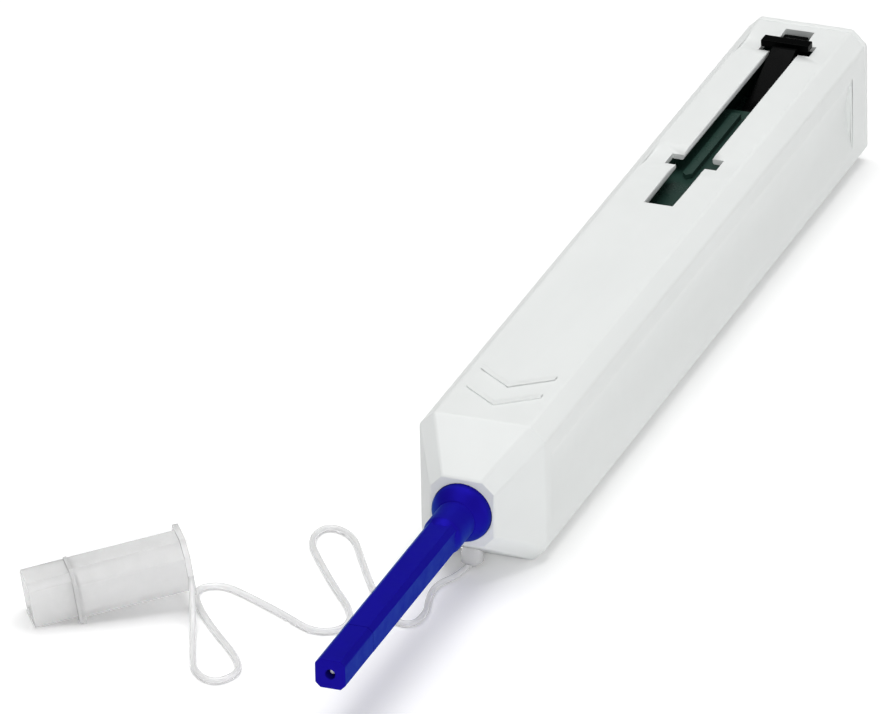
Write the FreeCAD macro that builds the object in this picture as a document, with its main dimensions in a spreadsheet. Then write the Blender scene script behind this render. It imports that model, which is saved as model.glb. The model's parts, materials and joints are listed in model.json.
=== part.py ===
import FreeCAD, Part

import math
import os
import re

import Sketcher
from FreeCAD import Placement, Rotation, Vector

# Fibre connector cleaning pen, lying on a table. Millimetres, +Z up, nozzle towards -Y.
# The origin is the middle of the housing's underside. Stations along the pen are measured
# from the shoulder, the plane where the straight housing ends and the tapered nose begins.

doc = FreeCAD.newDocument("cleaning_pen")
sheet = doc.addObject("Spreadsheet::Sheet", "sizes")

DRIVING_SIZES = {
    # housing
    "body_width": 19.0, "body_height": 21.3, "body_chamfer": 2.25, "body_len": 138.0,
    "side_wall": 2.3, "floor_wall": 1.6, "roof_wall": 1.1, "cavity_chamfer": 1.2,
    "nose_len": 8.4, "nose_face_width": 9.9, "nose_face_height": 10.6, "nose_face_chamfer": 2.0,
    "nose_wall": 2.0, "collar_radius": 4.4, "collar_gap": 0.1,
    "grip_front": 2.2, "grip_end": 7.0, "grip_height": 11.6, "grip_depth": 1.1,
    "slot_width": 4.5, "slot_lead": 13.8, "slot_end": 3.3, "notch_end": 10.8,
    "notch_length": 3.4, "notch_width": 8.0, "dip_depth": 0.3, "dip_ramp": 3.0, "dip_lip": 0.3,
    "arrow_station": 4.4, "arrow_pitch": 5.9, "arrow_half_span": 5.6, "arrow_sweep": 4.2,
    "arrow_stroke": 1.0, "arrow_relief": 0.25, "anchor_station": 4.8, "anchor_radius": 0.85,
    "anchor_depth": 2.2,
    # rear cap
    "cap_plate": 1.4, "plug_depth": 1.7, "plug_wall": 1.2, "plug_gap": 0.05,
    # carriage that carries the works and slides in the housing
    "travel": 40.8, "slide_gap": 0.3, "frame_front": 44.0, "frame_rear_gap": 0.3,
    "frame_wall": 1.2, "frame_chamfer": 1.0, "bay_chamfer": 0.3, "bulkhead": 2.0,
    "end_wall": 0.6, "deck_depth": 3.1, "deck_end": 2.0, "hatch_half_width": 4.6, "deck_rib_width": 1.5,
    "deck_rib_height": 0.8, "deck_rib_len": 22.0, "deck_rib_end": 2.5, "deck_rib_offset": 1.15,
    "window_length": 15.0, "window_height": 8.0, "window_drop": 4.05, "window_corner": 1.0,
    "guide_front": 7.6, "guide_wall": 0.5, "guide_gap": 0.1, "pin_radius": 0.6, "pin_station": 25.0,
    # latch
    "latch_reach": 13.2, "latch_pivot_depth": 5.1, "latch_pin_radius": 0.75,
    "latch_boss_radius": 1.4, "latch_width": 3.9, "tee_width": 7.5, "tee_length": 2.0,
    "tee_height": 1.1, "tee_lift": 0.1, "tee_inset": 0.3, "pad_length": 4.0, "pad_drop": 1.6,
    "arm_depth": 4.2, "arm_tail": 3.6, "arm_step": 0.3, "shelf_depth": 7.9, "shelf_length": 4.4,
    "spring_lead": 3.2,
    # nozzle
    "push_stroke": 10.0, "collar_rear": 3.0, "collar_proud": 0.6, "collar_dome": 2.2,
    "dome_round": 0.75, "dome_inset": 0.35, "dome_foot": 0.45,
    "neck_radius": 2.95, "neck_len": 6.4, "neck_taper": 1.6, "barrel_width": 4.5,
    "barrel_chamfer": 0.75, "nozzle_reach": 59.8, "tip_len": 10.8, "tip_bore": 0.72, "tip_lip": 1.6,
    "barrel_bore": 1.2, "shank_wall": 1.0, "shank_rear": 30.0, "shank_plug": 1.9,
    "thread_hole": 0.9, "rod_inner": 1.0, "rod_width": 1.2, "rod_height": 1.8,
    "jog_gap": 4.0, "jog_length": 2.0,
    # rotating core
    "cam_front": 10.0, "cam_rear": 28.0, "cam_radius": 2.4, "groove_depth": 0.75,
    "groove_gap": 0.12, "core_radius": 0.95, "core_bore": 0.7, "core_front": 57.0,
    "wick_radius": 0.42, "wick_recess": 0.9, "wick_root": 4.0, "wick_round": 0.2, "cam_turn": 180.0,
    # thread reels
    "reel_spacing": 20.0, "latch_clearance": 18.0, "reel_top_gap": 0.35, "reel_hub": 2.2,
    "drive_width": 4.4, "flange_thickness": 0.8, "axle_radius": 1.0, "running_gap": 0.06,
    "reel_side_gap": 0.4, "fresh_drop": 1.2, "used_drop": 2.7, "ratchet_width": 1.1,
    "ratchet_drop": 1.4, "ratchet_depth": 0.7, "ratchet_teeth": 18, "gear_width": 2.2,
    "gear_module": 0.5, "gear_teeth": 13, "gear_backlash": 0.1, "rack_width": 2.0,
    "rack_height": 2.0, "rack_teeth": 12, "thread_radius": 0.15, "guide_pin_lead": 13.5,
    "guide_pin_radius": 0.5, "strand_offset": 0.35, "strand_lift": 0.6, "leaf_thickness": 0.25,
    "leaf_gap": 0.12, "brake_half": 8.0, "brake_foot": 1.0, "brake_crest": 1.0, "click_reach": 5.0,
    "click_foot": 4.0,
    # springs
    "push_wire": 0.25, "push_coils": 7, "latch_wire": 0.15, "latch_coils": 4,
    "latch_coil_radius": 1.4, "seat_gap": 0.1,
    # guide cap and its tether
    "sleeve_width": 7.4, "sleeve_height": 7.2, "sleeve_len": 17.0, "sleeve_shoulder": 1.9,
    "sleeve_toe": 0.4, "sleeve_wall": 0.7, "flange_proud": 0.6, "flange_len": 0.8,
    "block_width": 6.4, "block_height": 6.9, "block_len": 6.2, "block_shoulder": 1.0, "web": 1.0,
    "ferrule_hole": 1.1, "foot_width": 2.2, "foot_len": 1.2, "foot_drop": 0.9,
    "cap_spot_x": -34.3, "cap_spot_y": 26.4, "cap_turn": 55.8, "cap_lean": 7.9,
    "strap_radius": 0.45, "strap_seat": 0.3, "strap_seat_height": 2.4, "anchor_head_len": 0.7,
    "anchor_tail": 0.3, "anchor_gap": 0.1, "plate_radius": 1.6, "plate_bottom": 1.2,
}

# Sizes worked out from the driving ones, in the words of the sheet.
DERIVED = {
    "shoulder": "-body_len / 2",
    "axis_height": "body_height / 2",
    "housing_len": "body_len - cap_plate",
    "cavity_half": "body_width / 2 - side_wall",
    "cavity_top": "body_height - roof_wall",
    "nose_bore": "collar_radius + collar_gap",
    "grip_radius": "(grip_height * grip_height / 4 + grip_depth * grip_depth) / (2 * grip_depth)",
    "dip_half_width": "body_width / 2 - body_chamfer - dip_lip",
    "frame_half": "cavity_half - slide_gap",
    "frame_bottom": "floor_wall + slide_gap",
    "frame_rear": "housing_len - plug_depth - frame_rear_gap",
    "bay_half": "frame_half - frame_wall",
    "bay_floor": "frame_bottom + frame_wall",
    "bay_top": "deck_top - frame_wall",
    "guide_radius": "collar_radius - guide_gap / 2",
    "guide_bore": "guide_radius - guide_wall",
    "shank_radius": "guide_bore - guide_gap",
    "shank_bore": "shank_radius - shank_wall",
    "nose_face": "nose_len + collar_proud",
    "neck_start": "nose_face + collar_dome",
    "barrel_start": "neck_start + neck_len",
    "tip_start": "nozzle_reach - tip_len",
    "tee_bottom": "body_height + tee_lift",
    "tee_front": "notch_station + tee_inset",
    "pitch_radius": "gear_module * gear_teeth / 2",
    "rack_pitch_height": "axis_height - pitch_radius",
    "rack_outer": "bay_half - reel_side_gap",
    "rack_inner": "rack_outer - rack_width",
    "rack_bottom": "rack_pitch_height - rack_height",
    "reel_left": "-bay_half + reel_side_gap",
    "reel_right": "reel_left + reel_width",
    "ratchet_right": "reel_right + ratchet_width",
    "grip_rear": "body_len - grip_end",
    "notch_station": "body_len - notch_end",
    "slot_front": "notch_station - travel - slot_lead",
    "slot_rear": "body_len - slot_end",
    "deck_top": "body_height - deck_depth",
    "deck_rear": "latch_pivot_station - deck_end",
    "deck_rib_rear": "deck_rear - deck_rib_end",
    "deck_rib_front": "deck_rib_rear - deck_rib_len",
    "window_sill": "axis_height - window_drop",
    "window_head": "window_sill + window_height",
    "latch_pivot_station": "notch_station - latch_reach",
    "latch_pivot_height": "body_height - latch_pivot_depth",
    "latch_spring_station": "notch_station - spring_lead",
    "shelf_top": "body_height - shelf_depth",
    "jog_station": "frame_front + jog_gap",
    "take_up_station": "latch_pivot_station - latch_clearance",
    "supply_station": "take_up_station - reel_spacing",
    "guide_pin_station": "supply_station - guide_pin_lead",
    "reel_radius": "bay_top - axis_height - reel_top_gap",
    "reel_width": "2 * bay_half - drive_width",
    "reel_middle": "(reel_left + reel_right) / 2",
    "fresh_thread": "reel_radius - fresh_drop",
    "used_thread": "reel_radius - used_drop",
    "ratchet_radius": "reel_radius - ratchet_drop",
    "rod_port": "rod_inner + rod_width + guide_gap * 3",
    "nose_slope": "(axis_height - nose_face_height / 2) / nose_len",
    "anchor_facet": "nose_slope * anchor_station",
    "anchor_top": "anchor_facet + anchor_depth",
}


def expand(words):
    """Writes out the derived words in a formula and points each size at the sheet."""
    def swap(match):
        word = match.group(0)
        if word in DERIVED:
            return f"({expand(DERIVED[word])})"
        return f"{sheet.Name}.{word}" if word in DRIVING_SIZES else word
    return re.sub(r"[a-z_]+", swap, words)


def size(words):
    """The present value of a formula, as a number."""
    return float(sheet.evalExpression(expand(words)))


def bind(thing, **formulas):
    """Ties properties of a document object to formulas on the sheet."""
    for name, words in formulas.items():
        thing.setExpression(name.replace("__", "."), expand(words))


def place(thing, x="0", station="0", z="0", turn=None):
    """Puts an object at a place along the pen that follows the sheet."""
    if turn is not None:
        thing.Placement = Placement(Vector(), turn)
    thing.setExpression("Placement.Base.x", expand(x))
    thing.setExpression("Placement.Base.y", expand(f"shoulder + {station}"))
    thing.setExpression("Placement.Base.z", expand(z))
    return thing


ALONG_PEN = Rotation(Vector(1, 0, 0), -90)      # a cylinder's own axis turned to +Y
ACROSS_PEN = Rotation(Vector(0, 1, 0), 90)      # a cylinder's own axis turned to +X
UPRIGHT = Rotation()


def rod(name, turn, start, length, radius):
    """A round bar from a start point (x, station, z) along one of the pen's directions."""
    cylinder = doc.addObject("Part::Cylinder", name)
    bind(cylinder, Radius=radius, Height=length)
    return place(cylinder, *start, turn)


def new_body(name):
    """A part design body under the piece's own name."""
    return doc.addObject("PartDesign::Body", name)


def attach(body, name, plane, lift):
    """A sketch on one of the body's own planes, lifted along that plane's normal."""
    sketch = body.newObject("Sketcher::SketchObject", name)
    origin = next(f for f in body.Origin.OriginFeatures if f.Role == plane)
    sketch.AttachmentSupport = [(origin, "")]
    sketch.MapMode = "FlatFace"
    sketch.setExpression("AttachmentOffset.Base.z", expand(lift))
    return sketch


def outline(body, name, plane, corners, lift="0"):
    """A closed outline of straight edges, each corner held by two formulas."""
    sketch = attach(body, name, plane, lift)
    spots = [Vector(size(u), size(v), 0) for u, v in corners]
    for number, spot in enumerate(spots):
        sketch.addGeometry(Part.LineSegment(spot, spots[(number + 1) % len(spots)]))
    for number in range(len(spots)):
        sketch.addConstraint(
            Sketcher.Constraint("Coincident", number, 2, (number + 1) % len(spots), 1))
    for number, corner in enumerate(corners):
        for kind, letter, words in zip(("DistanceX", "DistanceY"), "uv", corner):
            hold_point(sketch, kind, f"{letter}{number}", number, 1, words)
    return sketch


def hold_point(sketch, kind, label, geometry, point, words):
    """Holds one coordinate of a sketch point to a formula."""
    number = sketch.addConstraint(
        Sketcher.Constraint(kind, -1, 1, geometry, point, size(words)))
    sketch.renameConstraint(number, label)
    sketch.setExpression(f"Constraints.{label}", expand(words))


def ring(body, name, plane, centre, radius, lift="0"):
    """A circle whose centre and radius follow the sheet."""
    sketch = attach(body, name, plane, lift)
    spot = Vector(size(centre[0]), size(centre[1]), 0)
    sketch.addGeometry(Part.Circle(spot, Vector(0, 0, 1), size(radius)))
    number = sketch.addConstraint(Sketcher.Constraint("Radius", 0, size(radius)))
    sketch.renameConstraint(number, "radius")
    sketch.setExpression("Constraints.radius", expand(radius))
    hold_point(sketch, "DistanceX", "centre_u", 0, 3, centre[0])
    hold_point(sketch, "DistanceY", "centre_v", 0, 3, centre[1])
    return sketch


def feature(body, kind, name, sketch, **formulas):
    """A pad, pocket, revolution or groove on a sketch."""
    made = body.newObject(f"PartDesign::{kind}", name)
    made.Profile = sketch
    bind(made, **formulas)
    return made


def pad(body, name, sketch, length, backwards=False):
    """Adds the sketch's outline, along its normal or backwards."""
    made = feature(body, "Pad", name, sketch, Length=length)
    made.Reversed = backwards
    return made


def pocket(body, name, sketch, length, backwards=False, both_ways=False):
    """Cuts the sketch's outline, against its normal or backwards."""
    made = feature(body, "Pocket", name, sketch, Length=length)
    made.Reversed = backwards
    if both_ways:
        made.Midplane = True
    return made


def turned(name, corners, plane, axis):
    """A turned piece: the half section spun about the body's own axis."""
    body = new_body(name)
    sketch = outline(body, f"{name}_section", plane, corners)
    spin = body.newObject("PartDesign::Revolution", f"{name}_turning")
    spin.Profile = sketch
    spin.ReferenceAxis = (sketch, [axis])
    spin.Angle = 360
    return body


def mirrored_x(points):
    """The points, then their mirror images across the pen's middle, in walking order."""
    return points + [(f"-({u})", v) for u, v in reversed(points)]


def chamfered(half_width, low, high, chamfer, toe=None):
    """An upright rectangle about the middle with its corners cut at 45 degrees, the low ones by toe."""
    toe = toe or chamfer
    return mirrored_x([
        (f"{half_width} - {toe}", low), (half_width, f"{low} + {toe}"),
        (half_width, f"{high} - {chamfer}"), (f"{half_width} - {chamfer}", high)])


def shaped(name, shape):
    """A piece whose form is computed, placed at the shoulder."""
    piece = doc.addObject("Part::Feature", name)
    piece.Shape = shape
    return place(piece)


def fill_sheet():
    """Writes each driving size and its alias on its own row of the sheet."""
    for row, (alias, number) in enumerate(DRIVING_SIZES.items(), 1):
        sheet.set(f"A{row}", alias.replace("_", " "))
        sheet.set(f"B{row}", str(number))
        sheet.setAlias(f"B{row}", alias)
    doc.recompute()


# ---------------------------------------------------------------- housing and rear cap

def make_housing():
    """The white moulded housing: a chamfered box with a pyramid nose, hollow and open behind."""
    body = new_body("housing")
    shell = chamfered("body_width / 2", "0", "body_height", "body_chamfer")
    face = chamfered("nose_face_width / 2", "axis_height - nose_face_height / 2",
                     "axis_height + nose_face_height / 2", "nose_face_chamfer")
    pad(body, "barrel_pad", outline(body, "barrel_section", "XZ_Plane", shell), "housing_len", True)
    nose = body.newObject("PartDesign::AdditiveLoft", "nose_loft")
    nose.Profile = outline(body, "nose_root", "XZ_Plane", shell)
    nose.Sections = [outline(body, "nose_face", "XZ_Plane", face, "nose_len")]
    nose.Ruled = True
    cavity = chamfered("cavity_half", "floor_wall", "cavity_top", "cavity_chamfer")
    pocket(body, "cavity_cut", outline(body, "cavity", "XZ_Plane", cavity, "-nose_wall"), "body_len")
    bore = ring(body, "bore", "XZ_Plane", ("0", "axis_height"), "nose_bore", "nose_len")
    pocket(body, "bore_cut", bore, "nose_len + nose_wall + 1")
    for side in ("-", ""):
        name = "left_grip" if side else "right_grip"
        centre = (f"{side}(body_width / 2 + grip_radius - grip_depth)", "axis_height")
        grip = ring(body, name, "XZ_Plane", centre, "grip_radius", "-grip_front")
        pocket(body, f"{name}_cut", grip, "grip_rear - grip_front")
    cut_slot(body)
    for number in range(2):
        raise_arrow(body, number)
    anchor = ring(body, "anchor_hole", "XY_Plane", ("0", "-anchor_station"), "anchor_radius")
    pocket(body, "anchor_cut", anchor, "anchor_top", True)
    return place(body)


def cut_slot(body):
    """The latch slot, its two cross notches and the shallow dips round them."""
    notch_starts = ("notch_station - travel", "notch_station")
    edge = [("slot_width / 2", "slot_front")]
    for start in notch_starts:
        edge += [("slot_width / 2", start), ("notch_width / 2", start),
                 ("notch_width / 2", f"{start} + notch_length"),
                 ("slot_width / 2", f"{start} + notch_length")]
    edge.append(("slot_width / 2", "slot_rear"))
    slot = outline(body, "slot", "XY_Plane", mirrored_x(edge), "body_height")
    pocket(body, "slot_cut", slot, "roof_wall + cavity_chamfer / 2")
    for name, start in zip(("front_dip", "rear_dip"), notch_starts):
        dip = outline(body, name, "YZ_Plane", [
            (f"{start} - dip_ramp", "body_height"), (start, "body_height - dip_depth"),
            (f"{start} + notch_length", "body_height - dip_depth"),
            (f"{start} + notch_length + dip_ramp", "body_height"),
            (f"{start} + notch_length + dip_ramp", "body_height + 1"),
            (f"{start} - dip_ramp", "body_height + 1")])
        pocket(body, f"{name}_cut", dip, "2 * dip_half_width", both_ways=True)


def raise_arrow(body, number):
    """A raised chevron on the roof that points towards the nose."""
    apex = f"arrow_station + {number} * arrow_pitch"
    arrow = outline(body, f"arrow{number}", "XY_Plane", [
        ("0", apex), ("arrow_half_span", f"{apex} + arrow_sweep"),
        ("arrow_half_span", f"{apex} + arrow_sweep + arrow_stroke"), ("0", f"{apex} + arrow_stroke"),
        ("-arrow_half_span", f"{apex} + arrow_sweep + arrow_stroke"),
        ("-arrow_half_span", f"{apex} + arrow_sweep")], "body_height - arrow_relief")
    pad(body, f"arrow{number}_pad", arrow, "2 * arrow_relief")


def make_rear_cap():
    """The plate that closes the housing's rear, with a rim that plugs into the cavity."""
    body = new_body("rear_cap")
    plate = chamfered("body_width / 2", "0", "body_height", "body_chamfer")
    rim = chamfered("(cavity_half - plug_gap)", "(floor_wall + plug_gap)", "(cavity_top - plug_gap)",
                    "cavity_chamfer")
    hollow = chamfered("(cavity_half - plug_wall)", "(floor_wall + plug_wall)",
                       "(cavity_top - plug_wall)", "cavity_chamfer / 2")
    pad(body, "plate_pad", outline(body, "plate", "XZ_Plane", plate), "cap_plate", True)
    pad(body, "rim_pad", outline(body, "rim", "XZ_Plane", rim), "plug_depth")
    pocket(body, "rim_cut", outline(body, "rim_hollow", "XZ_Plane", hollow, "plug_depth"),
           "plug_depth")
    return place(body, station="housing_len")


# ---------------------------------------------------------------- carriage

def make_frame():
    """The black carriage frame: a long box with a bulkhead, decked over the reels."""
    body = new_body("carriage_frame")
    section = chamfered("frame_half", "frame_bottom", "deck_top", "frame_chamfer")
    outer = outline(body, "frame_section", "XZ_Plane", section, "-frame_front")
    pad(body, "frame_pad", outer, "frame_rear - frame_front", True)
    bay = chamfered("bay_half", "bay_floor", "bay_top", "bay_chamfer")
    inner = outline(body, "bay", "XZ_Plane", bay, "-(frame_front + bulkhead)")
    pocket(body, "bay_cut", inner, "frame_rear - end_wall - frame_front - bulkhead")
    hatch = outline(body, "hatch", "XY_Plane", mirrored_x(
        [("hatch_half_width", "deck_rear"), ("hatch_half_width", "frame_rear - end_wall")]), "deck_top")
    pocket(body, "hatch_cut", hatch, "frame_wall + frame_chamfer / 2")
    rails = outline(body, "rails", "XY_Plane", mirrored_x([
        ("hatch_half_width", "frame_rear - end_wall"), ("hatch_half_width", "frame_front"),
        ("frame_half - frame_chamfer", "frame_front"), ("frame_half - frame_chamfer", "frame_rear")]),
        "deck_top - frame_wall / 2")
    pad(body, "rails_pad", rails, "cavity_top - slide_gap - deck_top + frame_wall / 2")
    port = ring(body, "port", "XZ_Plane", ("0", "axis_height"), "rod_port", "-frame_front")
    pocket(body, "port_cut", port, "bulkhead + 1")
    for name, station in (("supply", "supply_station"), ("take_up", "take_up_station")):
        cut_reel_window(body, name, station)
    pivot = ring(body, "latch_pin_hole", "YZ_Plane",
                 ("latch_pivot_station", "latch_pivot_height"), "latch_pin_radius")
    pocket(body, "latch_pin_cut", pivot, "body_width", both_ways=True)
    shelf = outline(body, "shelf", "YZ_Plane", [
        ("latch_spring_station - shelf_length / 2", "shelf_top - frame_wall"),
        ("latch_spring_station + shelf_length / 2", "shelf_top - frame_wall"),
        ("latch_spring_station + shelf_length / 2", "shelf_top"),
        ("latch_spring_station - shelf_length / 2", "shelf_top")], "-bay_half - frame_wall / 2")
    pad(body, "shelf_pad", shelf, "2 * bay_half + frame_wall")
    rib = outline(body, "deck_rib", "XY_Plane", [
        ("-deck_rib_offset - deck_rib_width / 2", "deck_rib_front + deck_rib_width / 2"),
        ("-deck_rib_offset", "deck_rib_front"),
        ("-deck_rib_offset + deck_rib_width / 2", "deck_rib_front + deck_rib_width / 2"),
        ("-deck_rib_offset + deck_rib_width / 2", "deck_rib_rear"),
        ("-deck_rib_offset - deck_rib_width / 2", "deck_rib_rear")], "deck_top - frame_wall / 2")
    pad(body, "deck_rib_pad", rib, "deck_rib_height + frame_wall / 2")
    return place(body)


def cut_reel_window(body, name, station):
    """A window beside one reel in both walls, with a spoke across it that holds the axle."""
    front, rear = f"{station} - window_length / 2", f"{station} + window_length / 2"
    window = outline(body, f"{name}_window", "YZ_Plane", [
        (front, "window_sill + window_corner"), (f"{front} + window_corner", "window_sill"),
        (f"{rear} - window_corner", "window_sill"), (rear, "window_sill + window_corner"),
        (rear, "window_head"), (front, "window_head")])
    pocket(body, f"{name}_window_cut", window, "body_width", both_ways=True)
    for side, inner_face in (("right", "bay_half"), ("left", "-frame_half")):
        spoke = outline(body, f"{name}_spoke_{side}", "YZ_Plane", [
            (f"{station} - 2 * axle_radius", "window_sill - window_corner"),
            (f"{station} + 2 * axle_radius", "window_sill - window_corner"),
            (f"{station} + 2 * axle_radius", "window_head + window_corner"),
            (f"{station} - 2 * axle_radius", "window_head + window_corner")], inner_face)
        pad(body, f"{name}_spoke_{side}_pad", spoke, "frame_wall")
    axle = ring(body, f"{name}_axle_hole", "YZ_Plane", (station, "axis_height"), "axle_radius")
    pocket(body, f"{name}_axle_cut", axle, "body_width", both_ways=True)


def make_guide_tube():
    """The thin tube ahead of the frame in which the nozzle's shank slides."""
    body = new_body("guide_tube")
    wall = ring(body, "tube_outside", "XZ_Plane", ("0", "0"), "guide_radius", "-guide_front")
    pad(body, "tube_pad", wall, "frame_front - guide_front", True)
    bore = ring(body, "tube_inside", "XZ_Plane", ("0", "0"), "guide_bore", "-guide_front")
    pocket(body, "tube_cut", bore, "frame_front")
    hole = ring(body, "cam_pin_hole", "XY_Plane", ("0", "pin_station"), "pin_radius")
    pocket(body, "cam_pin_cut", hole, "2 * guide_radius", True)
    return place(body, z="axis_height")


def make_carriage_pins():
    """The steel pins that the frame and guide tube hold."""
    rod("cam_pin", UPRIGHT, ("0", "pin_station", "axis_height + cam_radius - groove_depth + groove_gap"),
        "guide_radius - cam_radius + groove_depth - groove_gap", "pin_radius")
    for name, station in (("supply_axle", "supply_station"), ("take_up_axle", "take_up_station")):
        rod(name, ACROSS_PEN, ("-frame_half", station, "axis_height"), "2 * frame_half", "axle_radius")
    rod("latch_pin", ACROSS_PEN, ("-frame_half", "latch_pivot_station", "latch_pivot_height"),
        "2 * frame_half", "latch_pin_radius")
    pins = [rod(f"{name}_guide_pin", ACROSS_PEN,
                ("-bay_half", "guide_pin_station", f"axis_height {sign} 2 * guide_pin_radius"),
                "2 * bay_half", "guide_pin_radius") for name, sign in (("upper", "+"), ("lower", "-"))]
    guides = doc.addObject("Part::Compound", "thread_guide_pins")
    guides.Links = pins


def make_leaf_springs():
    """The two thin leaves: one drags on the fresh reel, one clicks over the ratchet."""
    brake = new_body("brake_leaf")
    crown = "axis_height - reel_radius - leaf_gap"
    arch = outline(brake, "brake_side", "YZ_Plane", [
        ("-brake_half", "bay_floor"), ("brake_foot - brake_half", "bay_floor"),
        ("-brake_crest", f"{crown} - leaf_thickness"), ("brake_crest", f"{crown} - leaf_thickness"),
        ("brake_half - brake_foot", "bay_floor"), ("brake_half", "bay_floor"),
        ("brake_crest + leaf_thickness", crown), ("-brake_crest - leaf_thickness", crown)])
    pad(brake, "brake_pad", arch, "flange_thickness")
    place(brake, "reel_left", "supply_station")
    click = new_body("click_leaf")
    reach = "(ratchet_radius + leaf_gap) / sqrt(2)"
    foot = "ratchet_radius + click_reach"
    strip = outline(click, "click_side", "YZ_Plane", [
        (reach, f"axis_height + {reach}"),
        (f"{reach} + leaf_thickness", f"axis_height + {reach}"),
        (foot, "bay_top - leaf_thickness"), (f"{foot} + click_foot", "bay_top - leaf_thickness"),
        (f"{foot} + click_foot", "bay_top"), (f"{foot} - leaf_thickness", "bay_top")])
    pad(click, "click_pad", strip, "ratchet_width - 2 * leaf_gap")
    place(click, "reel_right + leaf_gap", "take_up_station")


def strand(points):
    """A thread through the points, round and of one thickness."""
    radius = size("thread_radius")
    pieces = []
    for start, end in zip(points, points[1:]):
        pieces.append(Part.makeCylinder(radius, (end - start).Length, start, end - start))
        pieces.append(Part.makeSphere(radius, end))
    return pieces[0].fuse(pieces[1:-1])


def touch_point(start, hub, radius, side):
    """Where a line from start touches a coil at the hub's x, above (1) or below (-1) its axis."""
    distance = math.hypot(hub.y - start.y, hub.z - start.z)
    turn = math.asin(radius / distance) * side
    along = distance * math.cos(turn)
    heading = math.atan2(hub.z - start.z, hub.y - start.y) + turn
    return Vector(hub.x, start.y + math.cos(heading) * along, start.z + math.sin(heading) * along)


def make_cleaning_thread():
    """The fresh strand from the supply reel to the core, and the used one to the take-up reel."""
    inside = size("cam_front + 2")
    bend = size("guide_pin_station + guide_pin_radius")
    axis = size("axis_height")
    aside, spread = size("strand_offset"), size("guide_pin_radius - thread_radius - leaf_gap / 2")
    loose = size("thread_radius + running_gap")
    supply, take_up = size("supply_station"), size("take_up_station")
    low = size("bay_floor + strand_lift")
    middle = size("reel_middle")
    corner = Vector(-aside, bend, axis + spread)
    fresh = strand([
        Vector(-aside, inside, axis + spread), corner,
        touch_point(corner, Vector(middle, supply, axis), size("fresh_thread") + loose, 1)])
    last = Vector(aside, supply + size("reel_radius * 2"), low)
    used = strand([
        Vector(aside, inside, axis - spread), Vector(aside, bend, axis - spread),
        Vector(aside, supply - size("reel_radius"), low), last,
        touch_point(last, Vector(middle, take_up, axis), size("used_thread") + loose, -1)])
    shaped("cleaning_thread", Part.makeCompound([fresh, used]))


# ---------------------------------------------------------------- latch

def make_latch():
    """The pressed latch: a lever on a pin, with a cross bar above the roof and a thumb pad."""
    lever = new_body("latch_lever")
    rise = "tee_bottom - latch_pivot_height"
    front = "tee_front - latch_pivot_station"
    back = f"{front} + tee_length"
    arm = outline(lever, "arm_side", "YZ_Plane", [
        ("0", "-latch_boss_radius"), (front, f"{rise} - arm_depth"),
        (f"{back} + pad_length", f"{rise} - arm_tail"),
        (f"{back} + pad_length", f"{rise} - pad_drop"), (back, f"{rise} - pad_drop"),
        (back, f"{rise} + tee_height"), (front, f"{rise} + tee_height"),
        (front, f"{rise} + tee_height / 3"), ("2 * latch_boss_radius", "latch_boss_radius + arm_step"),
        ("0", "latch_boss_radius")], "-latch_width / 2")
    pad(lever, "arm_pad", arm, "latch_width")
    boss = ring(lever, "boss", "YZ_Plane", ("0", "0"), "latch_boss_radius", "-latch_width / 2")
    pad(lever, "boss_pad", boss, "latch_width")
    bar = outline(lever, "tee", "YZ_Plane", [
        (front, rise), (back, rise), (back, f"{rise} + tee_height"), (front, f"{rise} + tee_height")],
        "-tee_width / 2")
    pad(lever, "tee_pad", bar, "tee_width")
    hole = ring(lever, "pivot_hole", "YZ_Plane", ("0", "0"), "latch_pin_radius + running_gap")
    pocket(lever, "pivot_cut", hole, "tee_width", both_ways=True)
    place(lever, "0", "latch_pivot_station", "latch_pivot_height")


# ---------------------------------------------------------------- nozzle

def make_nozzle():
    """The blue nozzle: collar, square barrel, tip sleeve, and the shank that slides in the guide."""
    collar = turned("nozzle_collar", [
        ("shank_radius", "-collar_rear"), ("collar_radius", "-collar_rear"),
        ("collar_radius", "-nose_face"), ("collar_radius - dome_inset", "-nose_face - dome_round"),
        ("neck_radius + dome_inset", "-neck_start + dome_foot"), ("neck_radius", "-neck_start"),
        ("barrel_bore", "-neck_start"), ("barrel_bore", "-nose_face"),
        ("shank_radius", "-nose_face")], "XY_Plane", "V_Axis")
    place(collar, z="axis_height")
    make_barrel()
    make_tip()
    shank = new_body("nozzle_shank")
    wall = ring(shank, "shank_outside", "XZ_Plane", ("0", "0"), "shank_radius", "nose_face")
    pad(shank, "shank_pad", wall, "nose_face + shank_rear", True)
    bore = ring(shank, "shank_inside", "XZ_Plane", ("0", "0"), "shank_bore", "nose_face")
    pocket(shank, "shank_cut", bore, "nose_face + shank_rear - shank_plug")
    hole = ring(shank, "thread_passage", "XZ_Plane", ("0", "0"), "thread_hole", "-shank_rear + shank_plug + 1")
    pocket(shank, "thread_passage_cut", hole, "shank_plug + 2")
    half = "(pin_radius + groove_gap)"
    slot = outline(shank, "pin_slot", "XY_Plane", mirrored_x(
        [(half, f"pin_station - push_stroke - {half}"), (half, f"pin_station + {half}")]))
    pocket(shank, "pin_slot_cut", slot, "shank_radius + 1", True)
    place(shank, z="axis_height")


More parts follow.
